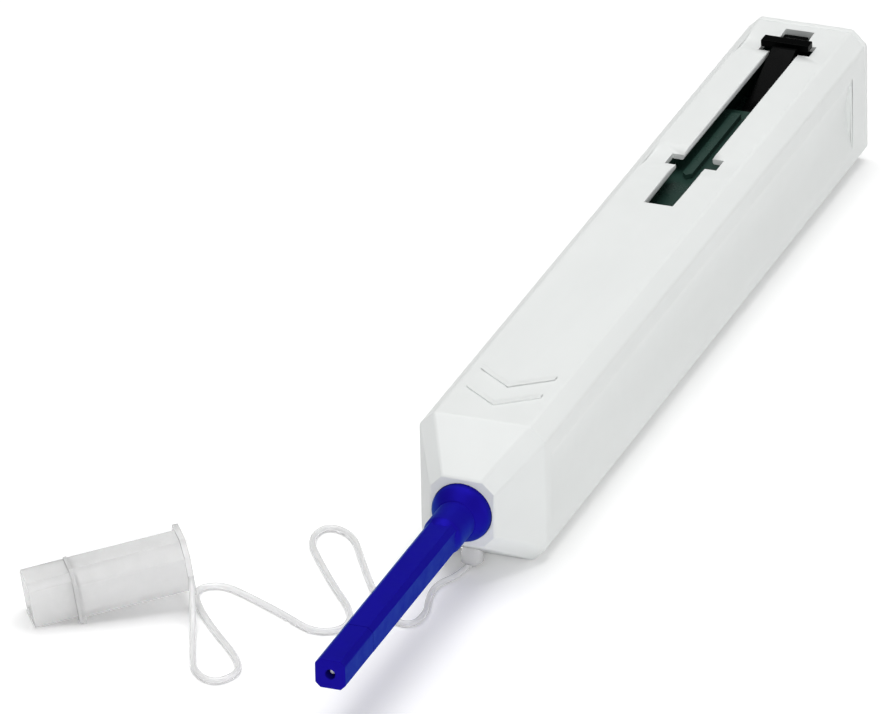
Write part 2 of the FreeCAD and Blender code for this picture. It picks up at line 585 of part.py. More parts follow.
def make_barrel():
    """The long square barrel with its round neck."""
    body = new_body("nozzle_barrel")
    neck = ring(body, "neck", "XZ_Plane", ("0", "0"), "neck_radius", "neck_start")
    pad(body, "neck_pad", neck, "neck_len - neck_taper")
    square = chamfered("barrel_width / 2", "-barrel_width / 2", "barrel_width / 2", "barrel_chamfer")
    rod_section = outline(body, "square_section", "XZ_Plane", square, "neck_start")
    pad(body, "square_pad", rod_section, "tip_start - neck_start")
    taper = body.newObject("PartDesign::AdditiveLoft", "neck_taper_loft")
    taper.Profile = ring(body, "taper_root", "XZ_Plane", ("0", "0"), "neck_radius",
                         "barrel_start - neck_taper")
    taper.Sections = [ring(body, "taper_end", "XZ_Plane", ("0", "0"), "barrel_width / 2", "barrel_start")]
    bore = ring(body, "barrel_bore_ring", "XZ_Plane", ("0", "0"), "barrel_bore", "tip_start")
    pocket(body, "barrel_bore_cut", bore, "tip_start")
    return place(body, z="axis_height")


def make_tip():
    """The separate square sleeve at the nozzle's end, with the small bore the wick looks through."""
    body = new_body("nozzle_tip")
    square = chamfered("barrel_width / 2", "-barrel_width / 2", "barrel_width / 2", "barrel_chamfer")
    pad(body, "sleeve_pad", outline(body, "sleeve_section", "XZ_Plane", square, "tip_start"), "tip_len")
    bore = ring(body, "sleeve_bore", "XZ_Plane", ("0", "0"), "barrel_bore", "nozzle_reach - tip_lip")
    pocket(body, "sleeve_bore_cut", bore, "tip_len")
    hole = ring(body, "tip_hole", "XZ_Plane", ("0", "0"), "tip_bore", "nozzle_reach")
    pocket(body, "tip_hole_cut", hole, "tip_lip + 1")
    return place(body, z="axis_height")


def make_rack():
    """The drive rack: a rod behind the shank, a step to the side and a toothed bar."""
    pitch = math.pi * size("gear_module")
    addendum, dedendum = 0.9 * size("gear_module"), 1.1 * size("gear_module")
    slope = math.tan(math.radians(20))
    half_tooth = pitch / 4 - size("gear_backlash") / 2
    bottom, line = size("rack_bottom"), size("rack_pitch_height")
    start, centre = size("jog_station"), size("take_up_station")
    teeth = int(size("rack_teeth"))
    first = centre - (teeth - 2.5) * pitch
    edge = [Vector(0, start, bottom), Vector(0, start, line - dedendum)]
    for number in range(teeth):
        middle = first + number * pitch
        foot, crest = half_tooth + dedendum * slope, half_tooth - addendum * slope
        edge += [Vector(0, middle - foot, line - dedendum), Vector(0, middle - crest, line + addendum),
                 Vector(0, middle + crest, line + addendum), Vector(0, middle + foot, line - dedendum)]
    end = first + teeth * pitch
    edge += [Vector(0, end, line - dedendum), Vector(0, end, bottom), edge[0]]
    inner, width = size("rack_inner"), size("rack_width")
    bar = Part.Face(Part.makePolygon(edge)).extrude(Vector(width, 0, 0))
    bar.translate(Vector(inner, 0, 0))
    rod_x, rod_w, rod_h = size("rod_inner"), size("rod_width"), size("rod_height")
    axis, rear = size("axis_height"), size("shank_rear")
    stem = Part.makeBox(rod_w, start + size("jog_length") - rear, rod_h, Vector(rod_x, rear, axis - rod_h / 2))
    jog = Part.makeBox(inner + width - rod_x, size("jog_length"), axis + rod_h / 2 - bottom,
                       Vector(rod_x, start, bottom))
    shaped("drive_rack", bar.fuse([stem, jog]).removeSplitter())


# ---------------------------------------------------------------- rotating core

def make_core():
    """The core: a thin tube with the wick at its end and the grooved cam that turns it."""
    tube = new_body("core_tube")
    wall = ring(tube, "core_outside", "XZ_Plane", ("0", "0"), "core_radius", "core_front")
    pad(tube, "core_pad", wall, "core_front + cam_rear", True)
    bore = ring(tube, "core_inside", "XZ_Plane", ("0", "0"), "core_bore", "core_front")
    pocket(tube, "core_cut", bore, "core_front + cam_rear")
    place(tube, z="axis_height")
    face = "nozzle_reach - wick_recess"
    wick = turned("cleaning_wick", [
        ("0", "wick_root - core_front"), ("core_bore", "wick_root - core_front"),
        ("core_bore", "-core_front"), ("wick_radius", "-core_front"),
        ("wick_radius", f"wick_round - ({face})"), ("wick_radius - wick_round", f"-({face})"),
        ("0", f"-({face})")], "XY_Plane", "V_Axis")
    place(wick, z="axis_height")
    make_cam()


def make_cam():
    """The cam barrel: its helical groove turns the core half a turn over the push stroke."""
    front, rear, radius = size("cam_front"), size("cam_rear"), size("cam_radius")
    barrel = Part.makeCylinder(radius, rear - front, Vector(0, front, 0), Vector(0, 1, 0))
    bore = Part.makeCylinder(size("core_radius"), rear - front, Vector(0, front, 0), Vector(0, 1, 0))
    floor = radius - size("groove_depth")
    half = size("pin_radius") + size("groove_gap")
    stroke, turn = size("push_stroke"), size("cam_turn")
    helix = Part.makeHelix(stroke * 360 / turn, stroke, radius)
    lead = math.atan2(stroke, radius * math.radians(turn))
    across = Vector(0, math.cos(lead + math.pi / 2), math.sin(lead + math.pi / 2)) * half
    corners = [Vector(r, 0, 0) + across * sign for r, sign in
               ((floor, 1), (radius + 1, 1), (radius + 1, -1), (floor, -1), (floor, 1))]
    sweep = Part.BRepOffsetAPI.MakePipeShell(helix)
    sweep.setFrenetMode(True)
    sweep.add(Part.makePolygon(corners))
    sweep.build()
    sweep.makeSolid()
    groove = sweep.shape()
    ends = [Part.makeCylinder(half, radius, Vector(floor, 0, 0), Vector(1, 0, 0)) for _ in range(2)]
    ends[1].Placement = Placement(Vector(0, 0, stroke), Rotation(Vector(0, 0, 1), turn))
    to_pin = Rotation(Vector(0, 0, 1), Vector(-1, 0, 0), Vector(0, -1, 0), "ZXY")
    for piece in [groove] + ends:
        moved = piece.copy()
        moved.Placement = Placement(Vector(0, size("pin_station"), 0), to_pin).multiply(piece.Placement)
        barrel = barrel.cut(moved)
    piece = doc.addObject("Part::Feature", "cam_barrel")
    piece.Shape = barrel.cut(bore)
    place(piece, z="axis_height")


# ---------------------------------------------------------------- reels

def make_reels():
    """The two thread reels with the thread wound on them."""
    for name, station, wound, radius in (
            ("supply_reel", "supply_station", "fresh_thread_coil", "fresh_thread"),
            ("take_up_reel", "take_up_station", "used_thread_coil", "used_thread")):
        bore = "axle_radius + running_gap"
        reel = turned(name, [
            ("0", bore), ("0", "reel_radius"), ("flange_thickness", "reel_radius"),
            ("flange_thickness", "reel_hub"), ("reel_width - flange_thickness", "reel_hub"),
            ("reel_width - flange_thickness", "reel_radius"), ("reel_width", "reel_radius"),
            ("reel_width", bore)], "XZ_Plane", "H_Axis")
        place(reel, "reel_left", station, "axis_height")
        coil = turned(wound, [
            ("flange_thickness", "reel_hub"), ("flange_thickness", radius),
            ("reel_width - flange_thickness", radius), ("reel_width - flange_thickness", "reel_hub")],
            "XZ_Plane", "H_Axis")
        place(coil, "reel_left", station, "axis_height")


def wheel(name, rim, width, x):
    """A toothed wheel on the take-up axle from its rim outline."""
    bore = size("axle_radius") + size("running_gap")
    blank = Part.Face(Part.makePolygon(rim + rim[:1])).extrude(Vector(width, 0, 0))
    piece = doc.addObject("Part::Feature", name)
    piece.Shape = blank.cut(Part.makeCylinder(bore, width, Vector(), Vector(1, 0, 0)))
    place(piece, x, "take_up_station", "axis_height")


def on_wheel(radius, angle):
    """A point at a radius and an angle measured from straight down."""
    return Vector(0, radius * math.sin(angle), -radius * math.cos(angle))


def make_pinion():
    """The pinion with involute teeth that the rack turns; one tooth stands straight down."""
    module, teeth = size("gear_module"), int(size("gear_teeth"))
    pitch_radius = module * teeth / 2
    base = pitch_radius * math.cos(math.radians(20))
    root, crown = pitch_radius - 1.1 * module, pitch_radius + 0.9 * module

    def flank(radius):
        """Half the tooth's angle at a radius."""
        def roll(at):
            return math.sqrt((at / base) ** 2 - 1) - math.acos(base / at)
        half = math.pi / (2 * teeth) - size("gear_backlash") / (2 * pitch_radius)
        return half + roll(pitch_radius) - roll(max(radius, base))

    radii = [root] + [base + (crown - base) * step / 4 for step in range(5)]
    rim = []
    for number in range(teeth):
        middle = number * 2 * math.pi / teeth
        rim += [on_wheel(r, middle - flank(r)) for r in radii]
        rim += [on_wheel(r, middle + flank(r)) for r in reversed(radii)]
    wheel("drive_pinion", rim, size("gear_width"), "ratchet_right")


def make_ratchet():
    """The saw-toothed wheel that lets the take-up reel turn one way only."""
    teeth, crown = int(size("ratchet_teeth")), size("ratchet_radius")
    step = 2 * math.pi / teeth
    rim = []
    for number in range(teeth):
        rim += [on_wheel(crown, number * step), on_wheel(crown - size("ratchet_depth"), number * step)]
    wheel("ratchet_wheel", rim, size("ratchet_width"), "reel_right")


# ---------------------------------------------------------------- springs

def coil_spring(radius, wire, coils, length):
    """A round-wire coil standing on +Z, each half turn a half circle tipped by half the pitch."""
    rise = (length - 2.2 * wire) / coils / 2
    start = Vector(0, -radius, 1.1 * wire)
    section = Part.Face(Part.Wire(Part.makeCircle(wire, start, Vector(1, 0, 0))))
    arcs = []
    for half_turn in range(round(2 * coils)):
        end = Vector(0, -start.y, start.z + rise)
        reach = (end - start).Length / 2 * (-1) ** half_turn
        arcs.append(Part.Arc(start, (start + end) / 2 + Vector(reach, 0, 0), end).toShape())
        start = end
    return Part.Wire(arcs).makePipe(section)


def make_springs():
    """The push return spring along the pen and the upright spring under the latch."""
    gap = size("seat_gap")
    length = size("frame_front") - size("shank_rear") - 2 * gap
    radius = (size("shank_radius") + size("rod_port")) / 2
    spring = doc.addObject("Part::Feature", "return_spring")
    spring.Shape = coil_spring(radius, size("push_wire"), size("push_coils"), length)
    place(spring, "0", "shank_rear + seat_gap", "axis_height", ALONG_PEN)
    low = size("shelf_top") + gap
    top = size("latch_pivot_height")
    upright = doc.addObject("Part::Feature", "latch_spring")
    upright.Shape = coil_spring(size("latch_coil_radius"), size("latch_wire"), size("latch_coils"), top - low)
    place(upright, "0", "latch_spring_station", "shelf_top + seat_gap")


# ---------------------------------------------------------------- guide cap and tether


def make_guide_cap():
    """The clear guide cap: a sleeve with cut shoulders, an end flange, a foot and a square block.

    It leans on the block's end and on its foot, and the strap holds the flange end up.
    """
    body = new_body("guide_cap")
    flange = chamfered("(sleeve_width / 2 + flange_proud)", "-flange_proud",
                       "(sleeve_height + flange_proud)", "sleeve_shoulder", "sleeve_toe")
    sleeve = chamfered("(sleeve_width / 2)", "0", "sleeve_height", "sleeve_shoulder", "sleeve_toe")
    nose = chamfered("(block_width / 2)", "0", "block_height", "block_shoulder", "sleeve_toe")
    inside = chamfered("(sleeve_width / 2 - sleeve_wall)", "sleeve_wall",
                       "(sleeve_height - sleeve_wall)", "(sleeve_shoulder - sleeve_wall)",
                       "(sleeve_toe / 2)")
    front = chamfered("(block_width / 2 - sleeve_wall)", "sleeve_wall",
                      "(block_height - sleeve_wall)", "(block_shoulder / 2)", "(sleeve_toe / 2)")
    pad(body, "flange_pad", outline(body, "flange", "XZ_Plane", flange), "flange_len")
    pad(body, "sleeve_pad2", outline(body, "sleeve", "XZ_Plane", sleeve), "sleeve_len")
    pad(body, "block_pad", outline(body, "block", "XZ_Plane", nose, "sleeve_len"), "block_len")
    foot = chamfered("foot_width / 2", "-foot_drop", "sleeve_wall", "sleeve_toe / 2")
    pad(body, "foot_pad", outline(body, "foot", "XZ_Plane", foot, "sleeve_len - foot_len"), "foot_len")
    pocket(body, "sleeve_cut", outline(body, "sleeve_inside", "XZ_Plane", inside,
                                       "sleeve_len - web"), "sleeve_len")
    pocket(body, "block_cut", outline(body, "block_inside", "XZ_Plane", front,
                                      "sleeve_len + block_len"), "block_len")
    hole = ring(body, "ferrule_ring", "XZ_Plane", ("0", "sleeve_height / 2"), "ferrule_hole",
                "sleeve_len + 1")
    pocket(body, "ferrule_cut", hole, "web + 2")
    turn = Rotation(Vector(0, 0, 1), -size("cap_turn")) * Rotation(Vector(1, 0, 0), size("cap_lean"))
    lift = "(sleeve_len + block_len) * sin(cap_lean)"
    return place(body, "cap_spot_x", "-cap_spot_y", lift, turn)


# The tether's route on the table, from the anchor under the nose to the guide cap's flange:
# x, station and height of each bend.
STRAP_ROUTE = [
    (0.0, -5.1, 1.0), (-0.7, -8.6, 0.5), (-2.7, -12.0, 0.5), (-2.3, -16.4, 0.5), (-0.9, -20.6, 0.5),
    (-1.6, -25.2, 0.5), (-6.2, -23.4, 0.5), (-10.2, -17.0, 0.5), (-14.8, -9.4, 0.5),
    (-19.2, -1.6, 0.5), (-23.9, -0.2, 0.5), (-24.7, -5.0, 0.5), (-21.0, -10.6, 0.5),
    (-16.2, -17.2, 0.5), (-10.8, -23.8, 0.5), (-10.0, -29.0, 0.5), (-13.8, -31.2, 0.5),
    (-19.6, -27.6, 0.5), (-25.6, -24.4, 0.5), (-31.2, -21.8, 0.5), (-34.6, -24.2, 0.5),
    (-31.9, -29.4, 0.5), (-27.0, -35.4, 0.5), (-21.4, -41.4, 0.5), (-19.2, -45.6, 0.5),
    (-21.4, -49.8, 0.5), (-25.4, -47.6, 0.5), (-27.6, -42.4, 0.5), (-30.0, -36.4, 1.0),
    (-31.0, -33.6, 2.8),
]


def rounded_path(points):
    """Straight runs joined by tangent arcs; returns the wire and the radii."""
    edges, radii, start = [], [], points[0]
    for before, corner, after in zip(points, points[1:], points[2:]):
        back, ahead = before - corner, after - corner
        half_turn = (math.pi - back.getAngle(ahead)) / 2
        reach = 0.45 * min(back.Length, ahead.Length)
        radii.append(reach / math.tan(half_turn))
        first = corner + Vector(back).normalize() * reach
        last = corner + Vector(ahead).normalize() * reach
        inward = (Vector(back).normalize() + Vector(ahead).normalize()).normalize()
        middle = corner + inward * (radii[-1] / math.cos(half_turn) - radii[-1])
        edges += [Part.LineSegment(start, first).toShape(), Part.Arc(first, middle, last).toShape()]
        start = last
    edges.append(Part.LineSegment(start, points[-1]).toShape())
    return Part.Wire(edges), radii


def make_tether(cap):
    """The clear anchor plugged into the nose and the strap that runs from it to the cap."""
    head_top, top = "anchor_facet - anchor_gap", "anchor_top - anchor_gap"
    anchor = new_body("tether_anchor")
    plate = ring(anchor, "plate", "XY_Plane", ("0", "0"), "plate_radius", "plate_bottom")
    pad(anchor, "plate_pad", plate, "anchor_top - plate_bottom")
    facet = outline(anchor, "facet", "YZ_Plane", [
        ("-2 * plate_radius", f"{head_top} + 2 * plate_radius * nose_slope"),
        ("2 * plate_radius", f"{head_top} - 2 * plate_radius * nose_slope"),
        ("2 * plate_radius", "2 * anchor_top"), ("-2 * plate_radius", "2 * anchor_top")])
    pocket(anchor, "facet_cut", facet, "3 * plate_radius", both_ways=True)
    stem = outline(anchor, "stem", "XZ_Plane", [
        ("0", "anchor_tail"), ("anchor_radius * 0.6", "anchor_tail"),
        ("anchor_radius", "anchor_tail + 0.5"), ("anchor_radius", f"{head_top} - anchor_head_len"),
        ("anchor_radius * 0.9", f"{head_top} + 1"), ("anchor_radius * 0.94", top), ("0", top)])
    spin = anchor.newObject("PartDesign::Revolution", "stem_turning")
    spin.Profile = stem
    spin.ReferenceAxis = (stem, ["V_Axis"])
    place(anchor, "0", "-anchor_station", "0")
    doc.recompute()                             # works out where the cap lies
    seat = cap.Placement.multVec(Vector(
        size("sleeve_width / 2 + flange_proud - strap_seat"), -size("flange_len / 2"),
        size("strap_seat_height"))) - Vector(0, size("shoulder"), 0)
    route = [Vector(*point) for point in STRAP_ROUTE] + [seat]
    path, radii = rounded_path(route)
    section = Part.Wire(Part.makeCircle(size("strap_radius"), route[0], route[1] - route[0]))
    strap = path.makePipeShell([section], True, False)
    expected = math.pi * size("strap_radius") ** 2 * path.Length
    print(f"strap: length {path.Length:.1f} mm, tightest radius {min(radii):.2f} mm, "
          f"volume {strap.Volume / expected:.4f} of its section times its length")
    print("strap radii:", " ".join(f"{radius:.1f}" for radius in radii))
    shaped("tether_strap", strap)


# ---------------------------------------------------------------- build

def report_and_export(names):
    """Stops if any object failed or any piece is not sound, then writes the pieces."""
    doc.recompute()
    for thing in doc.Objects:
        if {"Invalid", "Error"} & set(thing.State):
            raise RuntimeError(f"{thing.Name} failed: {thing.State}")
    os.makedirs("parts", exist_ok=True)
    for name in names:
        piece = doc.getObject(name)
        piece.Label = name
        if piece.Shape.isNull() or not piece.Shape.isValid() or not piece.Shape.Solids:
            raise RuntimeError(f"{name} has no sound solid")
        piece.Shape.exportStep(f"parts/{name}.step")
        print(f"{name}: {len(piece.Shape.Solids)} solid(s), {piece.Shape.Volume:.2f} mm3")


PIECES = [
    "housing", "rear_cap", "carriage_frame", "guide_tube", "cam_pin", "supply_axle", "take_up_axle",
    "latch_pin", "thread_guide_pins", "brake_leaf", "click_leaf", "cleaning_thread", "latch_lever",
    "nozzle_collar", "nozzle_barrel", "nozzle_tip", "nozzle_shank", "drive_rack", "core_tube",
    "cleaning_wick", "cam_barrel", "supply_reel", "fresh_thread_coil", "take_up_reel",
    "used_thread_coil", "drive_pinion", "ratchet_wheel", "return_spring", "latch_spring",
    "guide_cap", "tether_anchor", "tether_strap",
]

fill_sheet()
make_housing()
make_rear_cap()
make_frame()
make_guide_tube()
make_carriage_pins()
make_leaf_springs()
make_cleaning_thread()
make_latch()
make_nozzle()
make_rack()
make_core()
make_reels()
make_pinion()
make_ratchet()
make_springs()
make_tether(make_guide_cap())
report_and_export(PIECES)
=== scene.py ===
"""Looks of a fibre connector cleaning pen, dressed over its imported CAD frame.

+Y runs along the pen from the nozzle to the rear and +Z up through the latch slot. Lengths are in
metres, and a station is a length along the pen from the shoulder where the nose begins.
"""

from __future__ import annotations

import json
import logging
import math
from collections.abc import Callable
from dataclasses import dataclass
from enum import Enum
from typing import Any, ClassVar

import bmesh
import bpy
from mathutils import Matrix, Vector

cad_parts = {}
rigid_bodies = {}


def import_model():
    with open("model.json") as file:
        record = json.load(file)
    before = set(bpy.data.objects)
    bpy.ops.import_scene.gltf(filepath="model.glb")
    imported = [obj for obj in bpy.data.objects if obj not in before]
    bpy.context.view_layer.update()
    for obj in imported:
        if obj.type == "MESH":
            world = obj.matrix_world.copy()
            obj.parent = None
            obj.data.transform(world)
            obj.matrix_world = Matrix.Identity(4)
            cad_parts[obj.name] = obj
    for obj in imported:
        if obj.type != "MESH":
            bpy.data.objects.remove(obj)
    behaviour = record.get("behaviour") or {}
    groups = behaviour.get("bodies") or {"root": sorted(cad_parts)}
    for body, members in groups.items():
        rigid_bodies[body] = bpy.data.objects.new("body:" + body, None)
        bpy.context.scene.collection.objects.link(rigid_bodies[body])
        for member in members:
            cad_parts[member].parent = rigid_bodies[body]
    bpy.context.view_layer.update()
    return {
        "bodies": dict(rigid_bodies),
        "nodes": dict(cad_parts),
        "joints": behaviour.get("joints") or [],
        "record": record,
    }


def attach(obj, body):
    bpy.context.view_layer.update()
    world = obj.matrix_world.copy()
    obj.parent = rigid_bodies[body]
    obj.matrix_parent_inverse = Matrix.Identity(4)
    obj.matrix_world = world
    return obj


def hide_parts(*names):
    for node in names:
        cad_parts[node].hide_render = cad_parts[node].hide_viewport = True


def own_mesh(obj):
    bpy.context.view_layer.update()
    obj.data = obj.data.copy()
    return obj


LOG = logging.getLogger("cleaning_pen")
MM = 0.001
SHOULDER = -69.0 * MM

MERGE_GAP = 1e-6
FLAT_TURN = math.radians(0.6)
SHARP_TURN = math.radians(28.0)
SMOOTH_TURN = math.radians(40.0)
EDGE_SEGMENTS = 3
LONG_EDGE = 5.0 * MM
WHITE = (1.0, 1.0, 1.0)
PATTERN_SPAN = (0.3, 0.7)

Colour = tuple[float, float, float]
Point = tuple[float, float, float]


class Slot(Enum):
    """The record's material slots."""

    WHITE = "white_plastic"
    BLACK = "black_plastic"
    LATCH = "latch_plastic"
    BLUE = "blue_plastic"
    CLEAR = "clear_plastic"
    STRAP = "clear_rubber"
    GREY = "grey_plastic"
    THREAD = "white_thread"
    USED = "used_thread"
    STEEL = "steel"


# ---------------------------------------------------------------- shader nodes

class Value:
    """A number socket that takes Python arithmetic and adds the Math nodes for it."""

    def __init__(self, sheet: NodeSheet, socket: bpy.types.NodeSocket) -> None:
        """Wraps one output socket of a sheet.

        Args:
            sheet: The sheet that new Math nodes go on.
            socket: The output socket that holds the number.
        """
        self.sheet = sheet
        self.socket = socket

    def _math(self, operation: str, *terms: Value | float) -> Value:
        """Adds one Math node.

        Args:
            operation: The node's operation.
            *terms: Its inputs in order.

        Returns:
            The node's result.
        """
        node = self.sheet.node("ShaderNodeMath", {"operation": operation}, dict(enumerate(terms)))
        return Value(self.sheet, node.outputs[0])

    def __add__(self, other: Value | float) -> Value:
        """Self plus other."""
        return self._math("ADD", self, other)

    def __radd__(self, other: float) -> Value:
        """Other plus self."""
        return self._math("ADD", other, self)

    def __mul__(self, other: Value | float) -> Value:
        """Self times other."""
        return self._math("MULTIPLY", self, other)

    def __rmul__(self, other: float) -> Value:
        """Other times self."""
        return self._math("MULTIPLY", other, self)

    def sine(self) -> Value:
        """The sine of self, in radians."""
        return self._math("SINE", self)

    def within(self, low: float, high: float) -> Value:
        """Maps low to 0 and high to 1, and holds it there.

        Args:
            low: The value that becomes 0.
            high: The value that becomes 1.

        Returns:
            The clamped result.
        """
        node = self.sheet.node(
            "ShaderNodeMapRange", {"clamp": True},
            {"Value": self, "From Min": low, "From Max": high})
        return Value(self.sheet, node.outputs["Result"])


class NodeSheet:
    """One material's node tree, from its coordinates to its Principled shader."""

    COLOUR_A: ClassVar[int] = 6
    COLOUR_B: ClassVar[int] = 7
    COLOUR_RESULT: ClassVar[int] = 2

    def __init__(self, name: str) -> None:
        """Makes an empty material with a Principled shader.

        Args:
            name: The material's name.
        """
        self.material = bpy.data.materials.new(name)
        self.material.use_nodes = True
        self.tree = self.material.node_tree
        self.tree.nodes.clear()
        self.output = self.tree.nodes.new("ShaderNodeOutputMaterial")
        self.shader = self.tree.nodes.new("ShaderNodeBsdfPrincipled")
        self.tree.links.new(self.shader.outputs["BSDF"], self.output.inputs["Surface"])

    def node(self, kind: str, settings: dict[str, Any] | None = None,
             sockets: dict[str | int, Any] | None = None) -> bpy.types.Node:
        """Adds any node.

        Args:
            kind: The node's type.
            settings: Its own properties, set first.
            sockets: Values or links for its inputs, by name or number.

        Returns:
            The new node.
        """
        node = self.tree.nodes.new(kind)
        for key, value in (settings or {}).items():
            setattr(node, key, value)
        for key, value in (sockets or {}).items():
            self.feed(node.inputs[key], value)
        return node

    def feed(self, socket: bpy.types.NodeSocket, value: Any) -> None:
        """Links or sets one input socket.

        Args:
            socket: The input.
            value: A Value, an output socket, a number or a colour.
        """
        if isinstance(value, Value):
            self.tree.links.new(value.socket, socket)
        elif isinstance(value, bpy.types.NodeSocket):
            self.tree.links.new(value, socket)
        elif socket.type == "RGBA":
            socket.default_value = (*value, 1.0)
        else:
            socket.default_value = value

    def place(self) -> bpy.types.NodeSocket:
        """The Object coordinates."""
        return self.node("ShaderNodeTexCoord").outputs["Object"]

    def noise(self, size: float, detail: float, stretch: Point = (1.0, 1.0, 1.0)) -> Value:
        """A noise pattern around 0.5.

        Args:
            size: The size of its blobs.
            detail: Its octaves.
            stretch: How many times longer the blobs are along each axis.

        Returns:
            The pattern.
        """
        scale = tuple(1.0 / along for along in stretch)
        mapping = self.node("ShaderNodeMapping", {}, {"Vector": self.place(), "Scale": scale})
        noise = self.node(
            "ShaderNodeTexNoise", {},
            {"Vector": mapping.outputs["Vector"], "Scale": 1.0 / size, "Detail": detail})
        return Value(self, noise.outputs["Fac"])

    def tint(self, factor: Value, dark: Colour, light: Colour) -> bpy.types.NodeSocket:
        """A colour between two.

        Args:
            factor: 0 for dark and 1 for light.
            dark: The colour at 0.
            light: The colour at 1.

        Returns:
            The colour socket.
        """
        mix = self.node(
            "ShaderNodeMix", {"data_type": "RGBA"},
            {"Factor": factor, self.COLOUR_A: dark, self.COLOUR_B: light})
        return mix.outputs[self.COLOUR_RESULT]

    def bump(self, height: Value, depth: float) -> None:
        """Feeds a height pattern to the shader's normal.

        Args:
            height: The pattern from 0 to 1.
            depth: How high its tops stand.
        """
        node = self.node(
            "ShaderNodeBump", {}, {"Height": height, "Distance": depth, "Strength": 1.0})
        self.feed(self.shader.inputs["Normal"], node.outputs["Normal"])

    def shade(self, **sockets: Any) -> None:
        """Sets the Principled shader's inputs.

        Args:
            **sockets: Values by socket name, with _ for a space.
        """
        for key, value in sockets.items():
            self.feed(self.shader.inputs[key.replace("_", " ")], value)


def darker(colour: Colour, by: float) -> Colour:
    """The colour with each part lowered by a share of itself."""
    return tuple(part * (1.0 - by) for part in colour)


# ---------------------------------------------------------------- finishes

@dataclass(frozen=True)
class MouldedPlastic:
    """A moulded plastic: fine mould texture, faint flow streaks and a slow change of gloss."""

    slot: Slot
    colour: Colour
    roughness: float
    grain: float = 0.12 * MM
    relief: float = 0.002 * MM
    mottle: float = 0.03
    specular: float = 0.5
    metallic: float = 0.0
    sheen_colour: Colour = WHITE
    streak: ClassVar[float] = 7.0 * MM
    streak_stretch: ClassVar[Point] = (1.0, 5.0, 1.0)
    handling: ClassVar[float] = 2.2 * MM
    handling_span: ClassVar[tuple[float, float]] = (0.35, 0.7)
    polished: ClassVar[float] = 0.86
    worn: ClassVar[float] = 0.28

    def build(self) -> bpy.types.Material:
        """Builds the material.

        Returns:
            The material, named for its slot.
        """
        sheet = NodeSheet(self.slot.value)
        flow = sheet.noise(self.streak, detail=4.0, stretch=self.streak_stretch)
        handled = sheet.noise(self.handling, detail=5.0).within(*self.handling_span)
        sheet.shade(
            Base_Color=sheet.tint(
                flow.within(*PATTERN_SPAN), darker(self.colour, self.mottle), self.colour),
            Roughness=self.roughness * (self.polished + self.worn * handled),
            Metallic=self.metallic, Specular_IOR_Level=self.specular,
            Specular_Tint=self.sheen_colour)
        sheet.bump(sheet.noise(self.grain, detail=2.0), self.relief)
        return sheet.material


@dataclass(frozen=True)
class ClearPlastic:
    """A clear or milky plastic with faint haze and flow lines."""

    slot: Slot
    colour: Colour
    roughness: float
    transmission: float
    relief: float
    haze: float = 1.6 * MM
    ripple: ClassVar[float] = 0.8 * MM
    mottle: ClassVar[float] = 0.04
    clearest: ClassVar[float] = 0.8
    clouded: ClassVar[float] = 0.4
    refraction: ClassVar[float] = 1.46

    def build(self) -> bpy.types.Material:
        """Builds the material.

        Returns:
            The material, named for its slot.
        """
        sheet = NodeSheet(self.slot.value)
        cloud = sheet.noise(self.haze, detail=4.0)
        sheet.shade(
            Base_Color=sheet.tint(
                cloud.within(*PATTERN_SPAN), darker(self.colour, self.mottle), self.colour),
            Roughness=self.roughness * (self.clearest + self.clouded * cloud),
            IOR=self.refraction, Transmission_Weight=self.transmission)
        sheet.bump(sheet.noise(self.ripple, detail=2.0), self.relief)
        return sheet.material


@dataclass(frozen=True)
class WoundThread:
    """Cleaning thread: fine strands side by side, with soft fibre noise and painted shade in the
    grooves between strands.
    """

    slot: Slot
    colour: Colour
    pitch: ClassVar[float] = 0.16 * MM
    fibre_size: ClassVar[float] = 0.08 * MM
    fibre_share: ClassVar[float] = 0.3
    painted_groove_shade: ClassVar[float] = 0.25
    roughness: ClassVar[float] = 0.8
    rough_swing: ClassVar[float] = 0.15
    fuzz: ClassVar[float] = 0.3
    relief: ClassVar[float] = 0.03 * MM

    def build(self) -> bpy.types.Material:
        """Builds the material.

        Returns:
            The material, named for its slot.
        """
        sheet = NodeSheet(self.slot.value)
        across = sheet.node("ShaderNodeSeparateXYZ", {}, {"Vector": sheet.place()}).outputs["X"]
        turns = 0.5 + 0.5 * (Value(sheet, across) * (2.0 * math.pi / self.pitch)).sine()
        fibre = sheet.noise(self.fibre_size, detail=3.0)
        strands = turns * (1.0 - self.fibre_share) + fibre * self.fibre_share
        sheet.shade(
            # Painted shade: the base colour darkens in the grooves between the strands.
            Base_Color=sheet.tint(strands, darker(self.colour, self.painted_groove_shade), self.colour),
            Roughness=self.roughness + self.rough_swing * fibre, Sheen_Weight=self.fuzz)
        sheet.bump(strands, self.relief)
        return sheet.material


@dataclass(frozen=True)
class DrawnSteel:
    """Drawn or ground steel with fine scratches along the pen."""

    slot: Slot
    colour: Colour
    roughness: float
    scratch_width: ClassVar[float] = 0.06 * MM
    scratch_stretch: ClassVar[Point] = (1.0, 12.0, 1.0)
    tarnish: ClassVar[float] = 0.15
    bright: ClassVar[float] = 0.8
    scratched: ClassVar[float] = 0.4
    relief: ClassVar[float] = 0.002 * MM

    def build(self) -> bpy.types.Material:
        """Builds the material.

        Returns:
            The material, named for its slot.
        """
        sheet = NodeSheet(self.slot.value)
        scratch = sheet.noise(self.scratch_width, detail=3.0, stretch=self.scratch_stretch)
        sheet.shade(
            Base_Color=sheet.tint(
                scratch.within(*PATTERN_SPAN), darker(self.colour, self.tarnish), self.colour),
            Metallic=1.0, Roughness=self.roughness * (self.bright + self.scratched * scratch))
        sheet.bump(scratch, self.relief)
        return sheet.material


